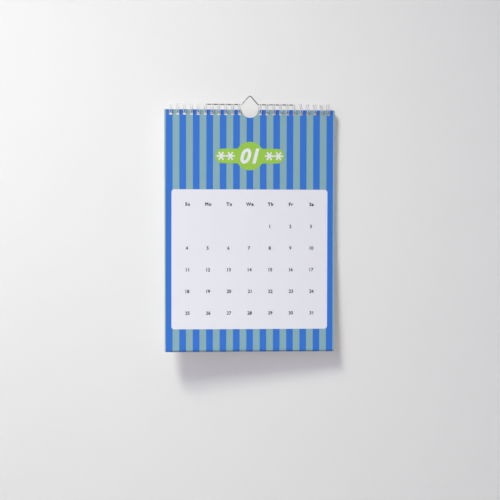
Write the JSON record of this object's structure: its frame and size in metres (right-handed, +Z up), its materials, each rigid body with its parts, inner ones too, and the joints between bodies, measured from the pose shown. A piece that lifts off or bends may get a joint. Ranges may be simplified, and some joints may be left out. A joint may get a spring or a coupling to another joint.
{
  "type": "wall calendar",
  "caption": "Portrait wall calendar: striped month leaf with a white date panel over later leaves and a backing board, on twin-loop wire combs with a bent wire hanger.",
  "frame": {"origin": "underside of the peak of the hanger's hump, where a nail bears", "axes": "+Z up, front faces -Y, +X to the right as seen from the front"},
  "size_m": [0.21, 0.0133, 0.3159],
  "materials": {
    "hanger_steel": "drawn",
    "comb_white": "satin",
    "leaf_card": "matte",
    "ink_blue": "matte",
    "ink_sage": "matte",
    "ink_lime": "matte",
    "board_card": "matte"
  },
  "bodies": {
    "hanger": {"hanger": "hanger_steel"},
    "calendar": {"wire_comb_left": "comb_white", "wire_comb_right": "comb_white", "later_leaves": "leaf_card"},
    "january_leaf": {"january_leaf": "leaf_card", "blue_stripes": "ink_blue", "sage_stripes": "ink_sage", "title_badge": "ink_lime"},
    "backing_board": {"backing_board": "board_card"}
  },
  "joints": [
    {"name": "hanger_swing", "type": "hinge", "parent": "hanger", "child": "calendar", "pos_m": [0, 0, -0.00972], "axis": [1, 0, 0], "range_deg": [-180, 180]},
    {"name": "leaf_lift", "type": "hinge", "parent": "calendar", "child": "january_leaf", "pos_m": [0, 0, -0.01452], "axis": [-1, 0, 0], "range_deg": [0, 120]},
    {"name": "board_lift", "type": "hinge", "parent": "calendar", "child": "backing_board", "pos_m": [0, 0, -0.01452], "axis": [1, 0, 0], "range_deg": [0, 120]}
  ]
}
